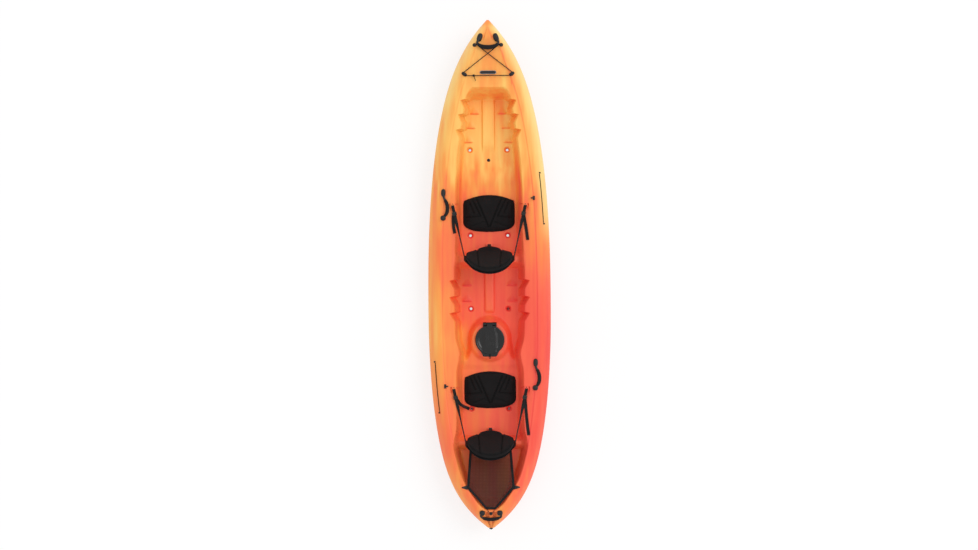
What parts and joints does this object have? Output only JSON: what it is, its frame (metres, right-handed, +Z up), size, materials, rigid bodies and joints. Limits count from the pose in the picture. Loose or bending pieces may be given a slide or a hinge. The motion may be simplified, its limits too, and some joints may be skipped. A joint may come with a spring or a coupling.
{
  "type": "tandem kayak",
  "caption": "Sit-on-top tandem kayak with padded folding backrests, footwells with heel notches, a hinged hatch, scuppers, carry handles, bow bungee and a mesh cargo net over the stern well.",
  "frame": {"origin": "middle of the boat's length and beam, on the ground under the keel runners", "axes": "+Y towards the bow, +X to starboard, +Z up"},
  "size_m": [0.882, 3.658, 0.4543],
  "materials": {
    "hull_plastic": "moulded polyethylene with yellow, orange and red streaks along the boat, slight sheen",
    "black_plastic": "black moulded plastic, low sheen",
    "plate": "bare dark plate with a paler rim",
    "rubber": "soft black rubber",
    "steel": "stainless steel",
    "bungee": "braided black elastic cord",
    "webbing": "black woven webbing",
    "seat_pad": "black foam with a fabric face",
    "mesh": "dark see-through mesh"
  },
  "bodies": {
    "hull": {"deck_shell": "hull_plastic", "hull_shell": "hull_plastic", "hatch_ring": "black_plastic", "hatch_gasket": "rubber", "hatch_hinge_pin": "steel", "hatch_screws": "steel", "bow_handle_feet": "black_plastic", "stern_handle_feet": "black_plastic", "left_handle_feet": "black_plastic", "right_handle_feet": "black_plastic", "fitting_screws": "steel", "bungee_posts": "black_plastic", "bow_bungee": "bungee", "bow_bungee_tail": "bungee", "left_paddle_cord": "bungee", "right_paddle_cord": "bungee", "paddle_cord_plugs": "black_plastic", "paddle_hooks": "black_plastic", "strap_anchors": "black_plastic", "front_left_strap": "webbing", "front_right_strap": "webbing", "rear_left_strap": "webbing", "rear_right_strap": "webbing", "strap_buckles": "black_plastic", "front_strap_tails": "webbing", "rear_strap_tails": "webbing", "front_seat_pad": "seat_pad", "rear_seat_pad": "seat_pad", "backrest_brackets": "black_plastic", "backrest_pins": "steel", "cargo_net": "mesh", "net_binding": "webbing", "net_clips": "black_plastic", "net_cords": "bungee", "net_eye": "black_plastic", "drain_bush": "black_plastic", "bow_plate": "plate", "footwell_plug": "black_plastic"},
    "hatch_lid": {"hatch_lid": "black_plastic", "hatch_pull_tab": "rubber"},
    "bow_handle": {"bow_handle_bail": "black_plastic", "bow_handle_grip": "rubber"},
    "stern_handle": {"stern_handle_bail": "black_plastic", "stern_handle_grip": "rubber"},
    "left_handle": {"left_handle_bail": "black_plastic", "left_handle_grip": "rubber"},
    "right_handle": {"right_handle_bail": "black_plastic", "right_handle_grip": "rubber"},
    "front_backrest": {"front_backrest_pad": "seat_pad", "front_backrest_shell": "black_plastic", "front_hinge_plate": "black_plastic"},
    "rear_backrest": {"rear_backrest_pad": "seat_pad", "rear_backrest_shell": "black_plastic", "rear_hinge_plate": "black_plastic"},
    "drain_carrier": {"drain_seal": "rubber"},
    "drain_plug": {"drain_plug": "black_plastic"}
  },
  "joints": [
    {"name": "hatch_hinge", "type": "hinge", "parent": "hull", "child": "hatch_lid", "pos_m": [0, -0.352, 0.191], "axis": [-1, 0, 0], "range_deg": [0, 160]},
    {"name": "bow_handle_swing", "type": "hinge", "parent": "hull", "child": "bow_handle", "pos_m": [0, 1.707, 0.33963], "axis": [-1, 0, 0], "range_deg": [0, 170]},
    {"name": "stern_handle_swing", "type": "hinge", "parent": "hull", "child": "stern_handle", "pos_m": [0, -1.703, 0.32494], "axis": [-1, 0, 0], "range_deg": [0, 175]},
    {"name": "left_handle_swing", "type": "hinge", "parent": "hull", "child": "left_handle", "pos_m": [-0.326, 0.5, 0.29381], "axis": [0, -1, 0], "range_deg": [0, 200]},
    {"name": "right_handle_swing", "type": "hinge", "parent": "hull", "child": "right_handle", "pos_m": [0.326, -0.72, 0.28933], "axis": [0, -1, 0], "range_deg": [0, 200]},
    {"name": "front_backrest_fold", "type": "hinge", "parent": "hull", "child": "front_backrest", "pos_m": [0, 0.216, 0.134], "axis": [-1, 0, 0], "range_deg": [0, 104], "deforming": ["front_left_strap", "front_right_strap"]},
    {"name": "rear_backrest_fold", "type": "hinge", "parent": "hull", "child": "rear_backrest", "pos_m": [0, -1.11, 0.134], "axis": [-1, 0, 0], "range_deg": [0, 104], "deforming": ["rear_left_strap", "rear_right_strap", "rear_strap_tails"]},
    {"name": "drain_travel", "type": "slide", "parent": "hull", "child": "drain_carrier", "axis": [0, -1, 0], "range_m": [0, 0.0091]},
    {"name": "drain_turn", "type": "hinge", "parent": "drain_carrier", "child": "drain_plug", "pos_m": [0, -1.825, 0.209], "axis": [0, -1, 0], "range_deg": [0, 1080]}
  ],
  "couplings": [
    {"joint": "drain_travel", "follows": "drain_turn", "m_per_rad": 0.000477}
  ]
}
